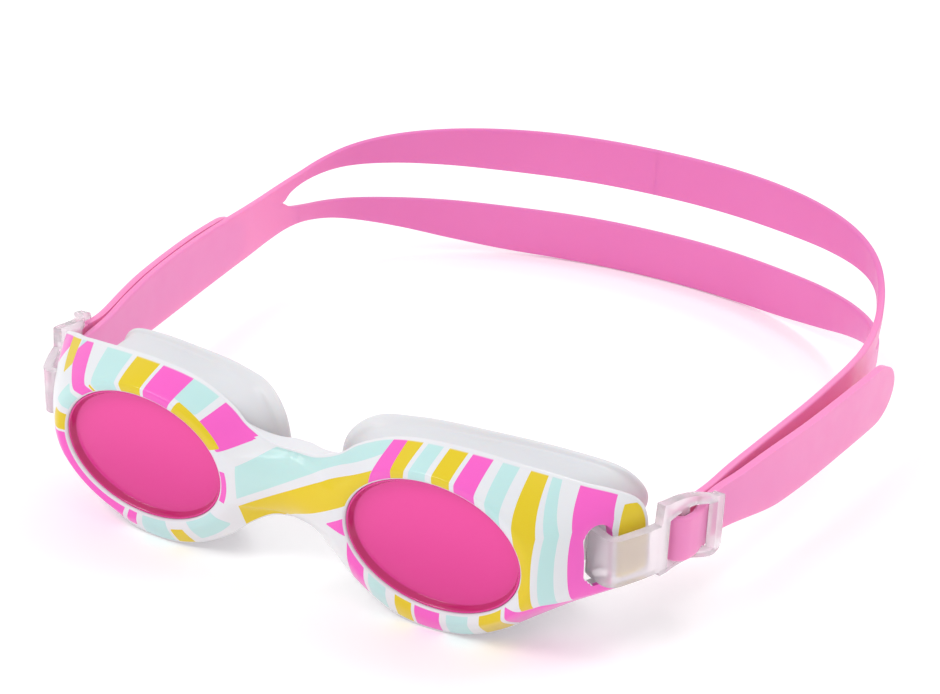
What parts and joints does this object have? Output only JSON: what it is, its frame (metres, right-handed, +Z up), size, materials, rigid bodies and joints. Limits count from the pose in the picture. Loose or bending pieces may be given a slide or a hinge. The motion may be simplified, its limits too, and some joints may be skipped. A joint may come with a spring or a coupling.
{
  "type": "swimming goggles",
  "caption": "Small swimming goggles with a printed one-piece soft frame, tinted oval lenses, soft face seals, pivoting side clips and a split silicone head strap.",
  "frame": {"origin": "under the middle of the bounding box, on the surface the goggles stand on", "axes": "the lenses face -Y, the strap goes back along +Y, +X is the side of the flared free strap end, +Z up"},
  "size_m": [0.1678, 0.1785, 0.039],
  "materials": {
    "printed_frame": "glossy translucent white, printed with pink, yellow and pale teal stripes",
    "lens": "polished pink tint",
    "face_seal": "translucent satin",
    "clip": "translucent satin",
    "strap": "satin silicone"
  },
  "bodies": {
    "frame": {"frame": "printed_frame", "lens_right": "lens", "lens_left": "lens", "seal_right": "face_seal", "seal_left": "face_seal"},
    "side_right": {"clip_right": "clip", "strap_side_right": "strap"},
    "side_left": {"clip_left": "clip", "strap_side_left": "strap"},
    "back": {"strap_upper_band": "strap"},
    "lower_band": {"strap_lower_band": "strap"},
    "tail_right": {"strap_tail_right": "strap"},
    "tail_left": {"strap_tail_left": "strap"}
  },
  "joints": [
    {"name": "right_clip_pivot", "type": "hinge", "parent": "frame", "child": "side_right", "pos_m": [0.06305, -0.0705, 0.02015], "axis": [0, 0, 1], "range_deg": [-8, 8]},
    {"name": "right_strap_bend", "type": "hinge", "parent": "side_right", "child": "back", "pos_m": [0.07685, 0.0189, 0.02045], "axis": [0, 0, 1], "range_deg": [-6.7, 6.7]},
    {"name": "left_strap_bend", "type": "hinge", "parent": "back", "child": "side_left", "pos_m": [-0.08115, 0.0189, 0.02045], "axis": [0, 0, 1], "range_deg": [-6.7, 6.7]},
    {"name": "lower_band_spread", "type": "hinge", "parent": "back", "child": "lower_band", "pos_m": [-0.00215, 0.0369, 0.01589], "axis": [-1, 0, 0], "range_deg": [0, 18]},
    {"name": "right_tail_lift", "type": "hinge", "parent": "side_right", "child": "tail_right", "pos_m": [0.07105, -0.0478, 0.01945], "axis": [0, 0, -1], "range_deg": [0, 30]},
    {"name": "left_tail_lift", "type": "hinge", "parent": "side_left", "child": "tail_left", "pos_m": [-0.07535, -0.0478, 0.01945], "axis": [0, 0, 1], "range_deg": [0, 30]}
  ],
  "couplings": [
    {"joint": "right_strap_bend", "follows": "right_clip_pivot", "ratio": -0.8256},
    {"joint": "left_strap_bend", "follows": "right_clip_pivot", "ratio": 0.8256}
  ]
}
